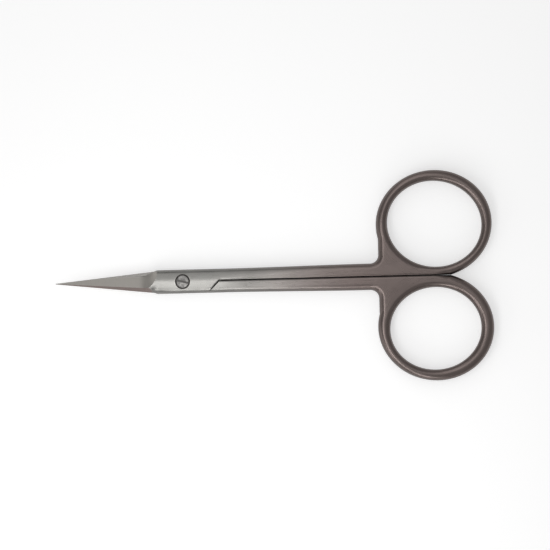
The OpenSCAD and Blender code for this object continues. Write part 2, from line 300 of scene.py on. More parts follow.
class HalfShape:
    """One half on its own lap plane, with its ring on +Y and its outer face up."""

    def __init__(self, scene, turn, rim, hole_turn, hole_shift, tip):
        self.j, self.b, self.h = scene.scissors_joint, scene.scissors_blade, scene.scissors_handle
        j, h = self.j, self.h
        self.half_w = j.joint_w / 2
        self.joint_h = j.joint_t / 2
        self.lap_z = self.joint_h - j.back_grind
        self.seam_y = h.seam_gap / 2
        self.mid_w = (h.shank_w - self.seam_y) / 2
        self.corner_x = j.shoulder_x - self.half_w - self.seam_y
        self.neck_x = h.ring_x - h.ring_l / 2 + h.neck_in
        self.web_x = self.neck_x - h.neck_r
        self.tip = tip
        centre = Vector((h.ring_x, h.ring_w / 2 - h.ring_dip))
        self.turn = turn
        self.ring = Oval(centre, h.ring_l / 2, h.ring_w / 2, turn)
        self.hole = Oval(centre + hole_shift, h.ring_l / 2 - rim, h.ring_w / 2 - rim, hole_turn)
        self.hole_turn = hole_turn

    def half_t(self, x):
        """Half thickness of the handle at x."""
        j, h = self.j, self.h
        shank_h, ring_h = h.shank_t / 2, h.ring_t / 2
        thin = (shank_h - self.joint_h) * ramp(x, j.shoulder_x, 2 * j.shoulder_x + self.half_w)
        flat = (ring_h - shank_h) * ramp(x, self.web_x - h.neck_r, h.ring_x + h.ring_l / 4)
        return self.joint_h + thin + flat

    def round_depth(self, x):
        """Depth of the rounding along the outer edge."""
        shoulder = self.j.shoulder_x
        wall = mix(self.j.joint_wall, self.h.wall, ramp(x, shoulder, HANDLE_FROM * shoulder))
        return self.half_t(x) * (1 - wall)

    def round_w(self, x):
        """Width of the rounding along the outer edge: a full crown at the joint."""
        r = min(self.h.edge_r, self.mid_w)
        return mix(self.half_w, r, ramp(x, self.corner_x, HANDLE_FROM * self.j.shoulder_x))

    def edge_at(self, x):
        """Cutting edge, side of the joint and outer edge of the shank."""
        j, b = self.j, self.b
        if x >= -j.joint_fore:
            return mix(self.half_w, self.h.shank_w, ramp(x, j.shoulder_x, self.web_x))
        if x >= -b.blade_root:
            return mix(b.edge_y, self.half_w, ramp(x, -b.blade_root, -j.joint_fore))
        taper = mix(b.edge_y, self.tip + b.tip_w / 2, (x + b.belly_x) / (b.belly_x - b.blade_l))
        return soft_min(b.edge_y, taper, CORNER_SHARE * b.edge_y)

    def spine_at(self, x):
        """Distance of the blade's back from the centre line."""
        b = self.b
        taper = mix(b.spine_y, b.tip_w / 2 - self.tip, (x + b.blade_root) / (b.blade_root - b.blade_l))
        return soft_min(self.half_w, taper, CORNER_SHARE * self.half_w)

    def inner_at(self, x):
        """Inner edge: the seam, the shoulder at 45 degrees, then the joint and the blade's back."""
        shoulder = self.j.shoulder_x
        if x >= shoulder:
            return self.seam_y
        if x >= self.corner_x:
            return mix(-self.half_w, self.seam_y, (x - self.corner_x) / (shoulder - self.corner_x))
        return -self.spine_at(x)

    def bar_z(self, x, y):
        """Height of the shank, joint and unground blade above the lap plane."""
        j, h, b = self.j, self.h, self.b
        crown = mix(j.joint_wall, 1, ramp(x, -b.blade_root, -j.joint_fore))
        depth = self.round_depth(x) * crown
        z = self.half_t(x) - fall(self.edge_at(x) - y, self.round_w(x) * crown, depth)
        if x < j.shoulder_x:
            z -= fall(y + self.spine_at(x), self.half_w * crown, depth)
        seam = fall(y - self.inner_at(x), h.seam_r, h.seam_r)
        return z - seam * ramp(x, self.corner_x, j.shoulder_x)

    def bar_sections(self):
        """Sections of the shank, joint and blade, from the ring to the tip."""
        j, b = self.j, self.b
        places = (
            [self.web_x]
            + spread(self.web_x, j.shoulder_x, SHANK_N)
            + spread(j.shoulder_x, self.corner_x, SHOULDER_N)
            + spread(self.corner_x, -j.joint_fore, BLOCK_N)
            + spread(-j.joint_fore, -b.blade_root, ROOT_N)
            + spread(-b.blade_root, -b.blade_l, BLADE_N)
        )
        sections = []
        for x in places:
            row = []
            for i in range(2 * ARC_N + 1):
                y = mix(self.edge_at(x), self.inner_at(x), curl(i) / 2)
                row.append((x, y, self.bar_z(x, y)))
            sections.append(both_faces(row))
        return sections

    def from_web(self, v):
        """Direction of v, counted on from the web's."""
        t = math.atan2(v.y, v.x)
        return t + math.tau * math.ceil((self.h.web_turn - t) / math.tau)

    def stations(self):
        """Places round the handle, from the seam to the shank's outer edge.

        Each is a point of the outline, the direction inwards, the direction from the hole
        to its matching point, and how far the seam's rounding has grown into the ring's.
        """
        h = self.h
        a, b, centre, hole = self.ring.a, self.ring.b, self.ring.centre, self.hole.centre
        sin, cos = math.sin(self.turn), math.cos(self.turn)
        t1 = math.asin((self.seam_y - centre.y) / math.hypot(a * sin, b * cos))
        t1 -= math.atan2(a * sin, b * cos)
        t2 = math.tau - math.acos((self.neck_x - centre.x) / math.hypot(a * cos, b * sin))
        t2 -= math.atan2(b * sin, a * cos)
        crotch, neck = self.ring.at(t1), self.ring.at(t2)
        hub = Vector((self.web_x, h.shank_w + h.neck_r))
        low = self.from_web(Vector((self.neck_x + h.edge_r, hub.y)) - hole)
        web = h.web_turn

        found = []
        for i in range(SEAM_N):
            x = mix(self.web_x, crotch.x, i / SEAM_N)
            facing = mix(web, self.from_web(crotch - hole), (i / SEAM_N) ** h.web_power)
            found.append((Vector((x, self.seam_y)), Vector((0, 1)), facing, ramp(x, h.ring_x, crotch.x)))
        for i in range(RING_N):
            t = mix(t1, t2, i / RING_N)
            p = self.ring.at(t)
            found.append((p, -self.ring.out(t), self.from_web(p - hole), 1.0))
        for i in range(NECK_N):
            p = neck.lerp(Vector((self.neck_x, hub.y)), i / NECK_N)
            found.append((p, Vector((1, 0)), mix(self.from_web(neck - hole), low, i / NECK_N), 1.0))
        for i in range(FILLET_N + 1):
            n = polar(-math.pi / 2 * i / FILLET_N)
            found.append((hub + h.neck_r * n, n, mix(low, web + math.tau, i / FILLET_N), 1.0))
        return found

    def loop_sections(self):
        """Sections round the finger hole, each from the outline to the hole."""
        h = self.h
        sections = []
        for p, inward, facing, grown in self.stations():
            v = facing - self.hole_turn
            t = math.atan2(self.hole.a * math.sin(v), self.hole.b * math.cos(v))
            q, out = self.hole.at(t), self.hole.out(t)
            rim = (p - q).dot(out)
            near = min(self.mid_w, h.rim_out * rim)
            far = min(h.edge_r, h.rim_in * rim)
            r = min(near, mix(h.seam_r, h.edge_r, grown))
            row = []
            for i in range(ARC_N + 1):
                d = near * curl(i)
                s = p + d * inward
                drop = fall(d, r, mix(h.seam_r, self.round_depth(s.x), grown))
                row.append((s.x, s.y, self.half_t(s.x) - drop))
            for i in range(ARC_N, -1, -1):
                d = far * curl(i)
                s = q + d * out
                row.append((s.x, s.y, self.half_t(s.x) - fall(d, far, self.round_depth(s.x))))
            sections.append(both_faces(row))
        return sections

    def face_z(self, x):
        """Height of the ground face on the centre line."""
        b = self.b
        return b.edge_t + self.edge_at(min(x, -b.blade_root)) * math.tan(b.wedge)

    def bevel_z(self, x):
        """Height of the back's bevel on the centre line."""
        b = self.b
        x = min(x, -b.blade_root)
        wide = mix(b.bevel_tip, b.bevel_root, (b.blade_l + x) / (b.blade_l - b.blade_root))
        return self.face_z(x) + (self.spine_at(x) - wide) * (math.tan(b.wedge) + math.tan(b.spine_slope))

    def ground_sections(self, height, slope):
        """Sections of what the wheel takes off above a surface that is straight across the blade."""
        b = self.b
        w, top = self.j.joint_w, 4 * self.j.joint_t
        steps = [(-2 * b.blade_l, 0.0), (-b.blade_l, 0.0)]
        steps += [(x, 0.0) for x in spread(-b.blade_l, -b.runout_x, BLADE_N)]
        for t in spread(0.0, RUNOUT_TURN, RUNOUT_N):
            steps.append((b.grind_r * math.sin(t) - b.runout_x, b.grind_r * (1 - math.cos(t))))
        sections = []
        for x, lift in steps:
            z = lift + height(x)
            sections.append([(x, -w, z - w * slope), (x, -w, top), (x, w, top), (x, w, z + w * slope)])
        return sections


def both_faces(row):
    """A closed section: the row over the top, then back along the underside."""
    return row + [(x, y, -z) for x, y, z in reversed(row)]


def loft(bm, sections):
    """Skins closed sections, starting from a circle that is drawn out from each to the next."""
    ring = bmesh.ops.create_circle(bm, segments=len(sections[0]), radius=MM)["verts"]
    first = edges = list({e for v in ring for e in v.link_edges})
    for vert, place in zip(ring, sections[0]):
        vert.co = place
    for section in sections[1:]:
        made = bmesh.ops.extrude_edge_only(bm, edges=edges)["geom"]
        fresh = {v for v in made if isinstance(v, bmesh.types.BMVert)}
        ring = [next(e.other_vert(v) for e in v.link_edges if e.other_vert(v) in fresh) for v in ring]
        edges = [e for e in made if isinstance(e, bmesh.types.BMEdge) and set(e.verts) <= fresh]
        for vert, place in zip(ring, section):
            vert.co = place
    return first, edges


def close(bm):
    """Merges doubles and turns all faces outwards."""
    bmesh.ops.remove_doubles(bm, verts=bm.verts, dist=MERGE)
    bmesh.ops.recalc_face_normals(bm, faces=bm.faces)


def to_object(bm, name, material):
    mesh = bpy.data.meshes.new(name)
    bm.to_mesh(mesh)
    bm.free()
    mesh.materials.append(material)
    made = bpy.data.objects.new(name, mesh)
    bpy.context.scene.collection.objects.link(made)
    return made


def forging(shape, name, material):
    """The solid forging of one half, before it is lapped and ground."""
    bm = bmesh.new()
    loft(bm, shape.loop_sections())
    _, tip = loft(bm, shape.bar_sections())
    bmesh.ops.contextual_create(bm, geom=tip)
    lean = Matrix(((1, 0, 0), (0, 1, math.tan(shape.h.seam_lean)), (0, 0, 1))).to_4x4()
    bmesh.ops.transform(bm, matrix=lean, verts=bm.verts)
    close(bm)
    return to_object(bm, name, material)


def lofted_cutter(sections, name, material):
    bm = bmesh.new()
    for end in loft(bm, sections):
        bmesh.ops.contextual_create(bm, geom=end)
    close(bm)
    return to_object(bm, name, material)


def lap_cutter(shape, material):
    """What is cut away below the lap face, up to the shoulder."""
    j, seam_y = shape.j, shape.seam_y
    far = shape.b.blade_l + 2 * j.joint_w
    stop = j.shoulder_x + j.shoulder_gap
    corners = [
        (-far, -j.joint_w),
        (stop, -j.joint_w),
        (stop, -seam_y),
        (stop - j.joint_w - seam_y, j.joint_w),
        (-far, j.joint_w),
    ]
    bm = bmesh.new()
    verts = [bm.verts.new((x, y, j.lap_gap / 2 - j.joint_t)) for x, y in corners]
    face = bm.faces.new(verts)
    raised = bmesh.ops.extrude_face_region(bm, geom=[face])["geom"]
    top = [v for v in raised if isinstance(v, bmesh.types.BMVert)]
    bmesh.ops.translate(bm, verts=top, vec=(0, 0, j.joint_t))
    close(bm)
    return to_object(bm, "lap_cutter", material)


def rod(name, r, low, high, material, place=Matrix()):
    """A round cutter on the Z axis, then moved by place."""
    bm = bmesh.new()
    lift = Matrix.Translation((0, 0, (low + high) / 2))
    bmesh.ops.create_cone(
        bm, cap_ends=True, segments=ROUND_N, radius1=r, radius2=r, depth=high - low, matrix=place @ lift
    )
    close(bm)
    return to_object(bm, name, material)


def hollow_cutter(shape, material):
    """The round wheel that hollows the inner face, and runs out towards the tip."""
    j, b = shape.j, shape.b
    mid_y = (b.edge_y - b.spine_y) / 2
    start = Vector((-j.joint_fore, mid_y, j.lap_gap / 2 + b.hollow_depth - b.hollow_r))
    aim = Vector((j.joint_fore - b.blade_l, shape.tip - mid_y, 0)).normalized()
    aim.z = -b.hollow_depth / b.hollow_l
    place = Matrix.Translation(start) @ aim.to_track_quat("Z", "Y").to_matrix().to_4x4()
    return rod("hollow_cutter", b.hollow_r, 0.0, b.blade_l, material, place)


def carve(piece, cutters):
    """Cuts each cutter out of the piece, and removes the cutters."""
    for cutter in cutters:
        cut = piece.modifiers.new(cutter.name, "BOOLEAN")
        cut.operation = "DIFFERENCE"
        cut.solver = "MANIFOLD"
        cut.material_mode = "TRANSFER"
        cut.object = cutter
        settled = bpy.context.evaluated_depsgraph_get()
        mesh = bpy.data.meshes.new_from_object(piece.evaluated_get(settled), depsgraph=settled)
        piece.modifiers.clear()
        old = piece.data
        piece.data = mesh
        bpy.data.meshes.remove(old)
        bpy.data.objects.remove(cutter)
    piece.data.name = piece.name


def smooth(piece):
    """Merges what the cuts left double, and shades the piece smooth between its sharp edges.

    The points of edges that stick out are marked, because handling wears those bright.
    """
    bm = bmesh.new()
    bm.from_mesh(piece.data)
    bmesh.ops.remove_doubles(bm, verts=bm.verts, dist=MERGE)
    wear = bm.verts.layers.float.new(WEAR)
    for edge in bm.edges:
        if edge.is_manifold and edge.calc_face_angle_signed() > SHARP:
            for vert in edge.verts:
                vert[wear] = 1.0
    bm.to_mesh(piece.data)
    bm.free()
    piece.data.shade_smooth()
    piece.data.set_sharp_from_angle(angle=SHARP)


def check_fit(piece, node):
    """Raises an error if the piece departs from the box of the solid that it stands for."""
    low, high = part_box(node)
    corners = [v.co for v in piece.data.vertices]
    if not corners:
        raise RuntimeError(f"{piece.name} has no vertices")
    for axis in range(3):
        near = min(c[axis] for c in corners) - low[axis]
        far = max(c[axis] for c in corners) - high[axis]
        if max(abs(near), abs(far)) > FIT:
            raise RuntimeError(f"{piece.name} differs from {node} by {near} and {far} on axis {axis}")


# The middle of a noise texture, and how far it is followed on each side of that: the
# tighter, the harder its patches
NOISE_MIDDLE = 0.5
WIDE, MEDIUM, TIGHT = 0.25, 0.2, 0.15

# How much lines, marks, clouds and stains change the colour, as shares of it
LINE_CONTRAST = 0.1
MARK_CONTRAST = 0.08
SCREW_CONTRAST = 0.15
CLOUD_CONTRAST = 0.04
STAIN_CONTRAST = 0.4

# How much they change the roughness, and how deep the lines and marks are
GLOSS_SWING = 0.05
STAIN_GLOSS = 0.06
LINE_DEPTH = 0.004 * MM
MARK_DEPTH = 0.003 * MM

# Width and length of brush lines, of wheel marks and of the marks on the screw
BRUSH_LINE = (0.09 * MM, 4.0 * MM)
WHEEL_MARK = (0.07 * MM, 2.5 * MM)
SCREW_MARK = (0.09 * MM, 1.5 * MM)

# Noise scales per metre
CLOUD_SCALE = 420.0
STAIN_SCALE = 1500.0

# Heights of the unit normal at which the painted shade on the sides is full, and at which it ends
FORGED_PAINTED_SHADE = (0.3, 0.95)
GROUND_PAINTED_SHADE = (0.35, 0.65)
BLADE_PAINTED_SHADE = (0.5, 0.8)
SCREW_PAINTED_SHADE = (0.5, 0.98)

# Where brush lines turn from round to straight, in ring radii
STRAIGHTEN = (1.1, 1.35)
# Where the lighter steel round the joint, partly finer polish and partly painted light, starts to fade
# and ends, in shoulder distances
POLISH_AND_LIGHT_FADE = (0.5, 5.0)
# How fast wear fades from an edge, and its share where an edge is rubbed least
WEAR_POWER = 2.0
LEAST_WEAR = 0.15
# Height of the honed line, in thicknesses of the cutting edge, and how many times as bare it
# is as other edges
HONED_HEIGHT = 2.5
HONED_WEAR = 2


def add_node(tree, kind, inputs=None, **options):
    """Adds a node, sets its options, and links or sets each input that is named or numbered."""
    node = tree.nodes.new(kind)
    for key, value in options.items():
        setattr(node, key, value)
    for key, value in (inputs or {}).items():
        if isinstance(value, bpy.types.NodeSocket):
            tree.links.new(value, node.inputs[key])
        else:
            node.inputs[key].default_value = value
    return node


def math_node(tree, operation, *values):
    return add_node(tree, "ShaderNodeMath", dict(enumerate(values)), operation=operation).outputs[0]


def vector_node(tree, operation, inputs, output="Vector"):
    return add_node(tree, "ShaderNodeVectorMath", inputs, operation=operation).outputs[output]


def range_node(tree, value, low, high, to_low, to_high, smooth_step=False):
    """Maps value from one range to another, held at its ends."""
    kind = "SMOOTHSTEP" if smooth_step else "LINEAR"
    inputs = {"Value": value, "From Min": low, "From Max": high, "To Min": to_low, "To Max": to_high}
    return add_node(tree, "ShaderNodeMapRange", inputs, interpolation_type=kind).outputs[0]


def around(tree, noise, middle, swing, reach=WIDE):
    """Maps a noise, followed within reach of its own middle, to values within swing of another."""
    low, high = NOISE_MIDDLE - reach, NOISE_MIDDLE + reach
    return range_node(tree, noise, low, high, middle - swing, middle + swing)


def color_mix(tree, factor, a, b, blend="MIX"):
    inputs = {0: factor, 6: a, 7: b}
    return add_node(tree, "ShaderNodeMix", inputs, data_type="RGBA", blend_type=blend).outputs[2]


def object_place(tree):
    return add_node(tree, "ShaderNodeTexCoord").outputs["Object"]


def parts_of(tree, vector):
    return add_node(tree, "ShaderNodeSeparateXYZ", {0: vector}).outputs


def as_vector(tree, x, y, z):
    return add_node(tree, "ShaderNodeCombineXYZ", {0: x, 1: y, 2: z}).outputs[0]


def noise_node(tree, at, scale=1.0, detail=2.0, w=None):
    """Value of a noise texture at a place, with w as a fourth coordinate if it is given."""
    inputs = {"Vector": at, "Scale": scale, "Detail": detail}
    if w is None:
        return add_node(tree, "ShaderNodeTexNoise", inputs).outputs[0]
    return add_node(tree, "ShaderNodeTexNoise", {**inputs, "W": w}, noise_dimensions="4D").outputs[0]


def new_group(name, inputs, outputs):
    """A shader node group with named sockets; returns it with its inner ends."""
    group = bpy.data.node_groups.new(name, "ShaderNodeTree")
    for socket, kind, default in inputs:
        made = group.interface.new_socket(socket, in_out="INPUT", socket_type="NodeSocket" + kind)
        made.default_value = default
    for socket in outputs:
        group.interface.new_socket(socket, in_out="OUTPUT", socket_type="NodeSocketFloat")
    return group, group.nodes.new("NodeGroupInput"), group.nodes.new("NodeGroupOutput")


def flow_group():
    """Brush lines that run along the shanks and round the rings, and soft clouds."""
    name = "Forging Flow"
    if name in bpy.data.node_groups:
        return bpy.data.node_groups[name]
    inputs = [
        ("Ring Centre", "Vector", (0.0, 0.0, 0.0)),
        ("Ring Radius", "Float", 10 * MM),
        ("Line Width", "Float", BRUSH_LINE[0]),
        ("Line Length", "Float", BRUSH_LINE[1]),
    ]
    tree, ends, out = new_group(name, inputs, ["Lines", "Clouds"])
    width, run = ends.outputs["Line Width"], ends.outputs["Line Length"]
    radius = ends.outputs["Ring Radius"]
    place = object_place(tree)
    x = parts_of(tree, place)[0]
    folded = parts_of(tree, vector_node(tree, "ABSOLUTE", {0: place}))

    across = math_node(tree, "DIVIDE", folded[1], width)
    up = math_node(tree, "DIVIDE", folded[2], width)
    along = math_node(tree, "DIVIDE", x, run)
    straight = noise_node(tree, as_vector(tree, along, across, up), detail=3.0)

    centre = parts_of(tree, ends.outputs["Ring Centre"])
    dx = math_node(tree, "SUBTRACT", x, centre[0])
    dy = math_node(tree, "SUBTRACT", folded[1], centre[1])
    flat = as_vector(tree, dx, dy, 0.0)
    reach = vector_node(tree, "LENGTH", {0: flat}, "Value")
    turns = math_node(tree, "DIVIDE", radius, run)
    wound = vector_node(tree, "SCALE", {0: vector_node(tree, "NORMALIZE", {0: flat}), 3: turns})
    outward = as_vector(tree, 0.0, 0.0, math_node(tree, "DIVIDE", reach, width))
    rounded = noise_node(tree, vector_node(tree, "ADD", {0: wound, 1: outward}), detail=3.0, w=up)

    rim = math_node(tree, "DIVIDE", reach, radius)
    shank = range_node(tree, rim, *STRAIGHTEN, 0.0, 1.0, smooth_step=True)
    lines = add_node(tree, "ShaderNodeMix", {0: shank, 2: rounded, 3: straight}, data_type="FLOAT")
    tree.links.new(lines.outputs[0], out.inputs["Lines"])
    tree.links.new(noise_node(tree, place, CLOUD_SCALE), out.inputs["Clouds"])
    return tree


def marks_group():
    """Fine straight marks of a grinding wheel, in a given direction in the plan."""
    name = "Grinding Marks"
    if name in bpy.data.node_groups:
        return bpy.data.node_groups[name]
    inputs = [
        ("Turn", "Float", 0.0),
        ("Mark Width", "Float", WHEEL_MARK[0]),
        ("Mark Length", "Float", WHEEL_MARK[1]),
    ]
    tree, ends, out = new_group(name, inputs, ["Marks"])
    turn = {"Vector": object_place(tree), "Angle": ends.outputs["Turn"]}
    turned = add_node(tree, "ShaderNodeVectorRotate", turn, rotation_type="Z_AXIS").outputs[0]
    parts = parts_of(tree, turned)
    along = math_node(tree, "DIVIDE", parts[0], ends.outputs["Mark Length"])
    across = math_node(tree, "DIVIDE", parts[1], ends.outputs["Mark Width"])
    tree.links.new(noise_node(tree, as_vector(tree, along, across, 0.0)), out.inputs["Marks"])
    return tree


def use_group(tree, group, settings):
    """Outputs of a group's node in the tree, with its inputs set by name."""
    return add_node(tree, "ShaderNodeGroup", settings, node_tree=group).outputs


def marks_node(tree, turn, mark):
    """Marks of the given width and length, turned in the plan."""
    settings = {"Turn": turn, "Mark Width": mark[0], "Mark Length": mark[1]}
    return use_group(tree, marks_group(), settings)["Marks"]


def as_color(values):
    return (*values, 1.0)


def shaded(tree, color, *shades):
    """The color times each of the shades."""
    shade = shades[0]
    for other in shades[1:]:
        shade = math_node(tree, "MULTIPLY", shade, other)
    return color_mix(tree, 1.0, color, as_vector(tree, shade, shade, shade), "MULTIPLY")


def painted_side_shade(tree, ends):
    """Painted shade, from 1 on level faces down to the finish's share for sides on upright ones."""
    normal = add_node(tree, "ShaderNodeNewGeometry").outputs["Normal"]
    height = math_node(tree, "ABSOLUTE", parts_of(tree, normal)[2])
    dark = bpy.context.scene.scissors_finish.sides
    return range_node(tree, height, *ends, dark, 1.0, smooth_step=True)


def new_material(name):
    material = bpy.data.materials.new(name)
    material.use_nodes = True
    return material, material.node_tree


def to_shader(tree, color, roughness, relief, depth):
    """Makes the tree's shader a metal with this colour, roughness and fine relief."""
    shader = tree.nodes["Principled BSDF"]
    shader.inputs["Metallic"].default_value = 1.0
    tree.links.new(color, shader.inputs["Base Color"])
    tree.links.new(roughness, shader.inputs["Roughness"])
    bump = add_node(tree, "ShaderNodeBump", {"Height": relief, "Distance": depth})
    tree.links.new(bump.outputs[0], shader.inputs["Normal"])


def forged_steel():
    """Brushed steel of the forgings, with painted shade on upright sides, and lighter round the joint,
    partly from a finer polish and partly from painted light.
    """
    name = "forged_steel"
    if name in bpy.data.materials:
        return bpy.data.materials[name]
    scene = bpy.context.scene
    finish, h, j = scene.scissors_finish, scene.scissors_handle, scene.scissors_joint
    material, tree = new_material(name)
    settings = {
        "Ring Centre": (h.ring_x, h.ring_w / 2 - h.ring_dip, 0.0),
        "Ring Radius": h.ring_w / 2,
        "Line Width": BRUSH_LINE[0],
        "Line Length": BRUSH_LINE[1],
    }
    flow = use_group(tree, flow_group(), settings)
    lines, clouds = flow["Lines"], flow["Clouds"]
    x = parts_of(tree, object_place(tree))[0]
    start, end = (part * j.shoulder_x for part in POLISH_AND_LIGHT_FADE)
    # Partly finer polish and partly painted light: the colour lightens towards the joint
    bright = range_node(tree, x, start, end, 1.0, 0.0, smooth_step=True)
    body = color_mix(tree, bright, as_color(finish.satin), as_color(finish.polish_and_light))
    lined = around(tree, lines, 1.0, LINE_CONTRAST)
    clouded = around(tree, clouds, 1.0, CLOUD_CONTRAST, MEDIUM)
    # Upright faces get painted shade here
    brushed = shaded(tree, body, lined, clouded, painted_side_shade(tree, FORGED_PAINTED_SHADE))

    near_edge = add_node(tree, "ShaderNodeAttribute", attribute_name=WEAR).outputs["Fac"]
    middle, swing = (finish.wear + LEAST_WEAR) / 2, (finish.wear - LEAST_WEAR) / 2
    rubbed = around(tree, clouds, middle, swing, TIGHT)
    worn = math_node(tree, "MULTIPLY", math_node(tree, "POWER", near_edge, WEAR_POWER), rubbed)
    steel = color_mix(tree, worn, brushed, as_color(finish.worn))
    gloss = range_node(tree, bright, 0.0, 1.0, finish.satin_roughness, finish.polished_roughness)
    rough = math_node(tree, "ADD", gloss, around(tree, lines, 0.0, GLOSS_SWING))
    to_shader(tree, steel, rough, lines, LINE_DEPTH)
    return material


def ground_steel(name, color, roughness, turn=0.0, sides=GROUND_PAINTED_SHADE, honed=0.0):
    """Steel as a grinding wheel leaves it, with its marks in one direction and painted shade on its
    upright sides.

    Honed is the share of bare metal along the cutting edges.
    """
    if name in bpy.data.materials:
        return bpy.data.materials[name]
    material, tree = new_material(name)
    marks = marks_node(tree, turn, WHEEL_MARK)
    marked = around(tree, marks, 1.0, MARK_CONTRAST)
    # Upright faces get painted shade here
    steel = shaded(tree, as_color(color), marked, painted_side_shade(tree, sides))
    if honed:
        scene = bpy.context.scene
        j, b, bare = scene.scissors_joint, scene.scissors_blade, scene.scissors_finish.worn
        z = parts_of(tree, object_place(tree))[2]
        above = math_node(tree, "SUBTRACT", z, j.joint_t / 2 - j.back_grind)
        off = math_node(tree, "ABSOLUTE", above)
        line = range_node(tree, off, b.edge_t, HONED_HEIGHT * b.edge_t, honed, 0.0, smooth_step=True)
        steel = color_mix(tree, math_node(tree, "MULTIPLY", line, marks), steel, as_color(bare))
    to_shader(tree, steel, around(tree, marks, roughness, GLOSS_SWING), marks, MARK_DEPTH)
    return material


def blade_steel():
    finish = bpy.context.scene.scissors_finish
    turn, honed = math.radians(80), HONED_WEAR * finish.wear
    return ground_steel("blade_steel", finish.ground, finish.ground_roughness, turn, BLADE_PAINTED_SHADE, honed)


def bevel_steel():
    finish = bpy.context.scene.scissors_finish
    return ground_steel("bevel_steel", finish.satin, finish.satin_roughness, math.radians(-5))


def lapped_steel():
    finish = bpy.context.scene.scissors_finish
    return ground_steel("lapped_steel", finish.lapped, finish.ground_roughness)


# Painted shade in the bores and in the recess round the screw head
def bored_steel():
    finish = bpy.context.scene.scissors_finish
    return ground_steel("bored_steel", finish.hole_shade, finish.satin_roughness)


# Painted shade down in the screwdriver slot
def slotted_steel():
    finish = bpy.context.scene.scissors_finish
    return ground_steel("slotted_steel", finish.slotted, finish.ground_roughness)


def turned_steel():
    """Stained steel of the screw, with painted shade down the side of its head."""
    name = "turned_steel"
    if name in bpy.data.materials:
        return bpy.data.materials[name]
    finish = bpy.context.scene.scissors_finish
    material, tree = new_material(name)
    stains = noise_node(tree, object_place(tree), STAIN_SCALE, detail=3.0)
    marks = marks_node(tree, math.radians(35), SCREW_MARK)
    stained = around(tree, stains, 1.0, STAIN_CONTRAST, TIGHT)
    marked = around(tree, marks, 1.0, SCREW_CONTRAST)
    # The upright side of the head gets painted shade here
    steel = shaded(tree, as_color(finish.screw), stained, marked, painted_side_shade(tree, SCREW_PAINTED_SHADE))
    rough = around(tree, stains, finish.ground_roughness, -STAIN_GLOSS, MEDIUM)
    to_shader(tree, steel, rough, marks, MARK_DEPTH)
    return material


def ground_half(shape, name, flip=Matrix()):
    """One half, lapped and ground on its own lap plane, then flipped and put in its place."""
    piece = forging(shape, name, forged_steel())
    b, lapped = shape.b, lapped_steel()
    face = shape.ground_sections(shape.face_z, -math.tan(b.wedge))
    bevel = shape.ground_sections(shape.bevel_z, math.tan(b.spine_slope))
    cutters = [
        lap_cutter(shape, lapped),
        lofted_cutter(face, "face_cutter", blade_steel()),
        lofted_cutter(bevel, "bevel_cutter", bevel_steel()),
        hollow_cutter(shape, lapped),
    ]
    carve(piece, cutters)
    piece.data.transform(Matrix.Translation((0, 0, shape.lap_z)) @ flip)
    return piece


def complete(piece, cutters, node):
    """Makes the last cuts, then smooths and checks the piece."""
    carve(piece, cutters)
    smooth(piece)
    check_fit(piece, node)


def back_cutter(shape):
    """What is ground off the back of both halves, to the flat that the scissors lie on."""
    j = shape.j
    low = Vector((-shape.b.blade_l, -j.joint_w, -j.joint_t))
    high = Vector((shape.h.ring_x, j.joint_w, 0.0))
    bm = bmesh.new()
    box = Matrix.Translation((low + high) / 2) @ Matrix.Diagonal((*(high - low), 1.0))
    bmesh.ops.create_cube(bm, size=1.0, matrix=box)
    return to_object(bm, "back_cutter", lapped_steel())


class SCISSORS_OT_top_half(bpy.types.Operator):
    """Build the top half: upper ring, shank, recessed joint and ground blade"""

    bl_idname = "scissors.top_half"
    bl_label = "Top Half"

    def execute(self, context):
        scene = context.scene
        h, j, s = scene.scissors_handle, scene.scissors_joint, scene.scissors_screw
        shift = Vector((h.top_hole_x, h.top_hole_y))
        tip = scene.scissors_blade.tip_y
        shape = HalfShape(scene, h.top_turn, h.top_rim, h.top_hole_turn, shift, tip)
        piece = ground_half(shape, "top_forging")
        seat = shape.lap_z + shape.joint_h - s.head_sink - s.head_t - s.seat_gap
        # The bore and the recess get painted shade
        bore = rod("bore_cutter", s.screw_d / 2 + s.screw_fit, 0.0, j.joint_t, bored_steel())
        recess = rod("recess_cutter", s.head_d / 2 + s.head_gap, seat, 2 * j.joint_t, bored_steel())
        complete(piece, [back_cutter(shape), bore, recess], "top_half")
        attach(piece, "upper")
        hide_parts("top_half")
        return {"FINISHED"}


class SCISSORS_OT_bottom_half(bpy.types.Operator):
    """Build the bottom half: lower ring, shank, tapped joint and ground blade"""

    bl_idname = "scissors.bottom_half"
    bl_label = "Bottom Half"

    def execute(self, context):
        scene = context.scene
        h, j, s = scene.scissors_handle, scene.scissors_joint, scene.scissors_screw
        shift = Vector((h.bottom_hole_x, h.bottom_hole_y))
        tip = -scene.scissors_blade.tip_y
        shape = HalfShape(scene, h.bottom_turn, h.bottom_rim, h.bottom_hole_turn, shift, tip)
        piece = ground_half(shape, "bottom_forging", Matrix.Rotation(math.pi, 4, "X"))
        bore = rod("bore_cutter", s.screw_d / 2, -j.joint_t, j.joint_t, bored_steel())
        complete(piece, [back_cutter(shape), bore], "bottom_half")
        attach(piece, "lower")
        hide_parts("bottom_half")
        return {"FINISHED"}


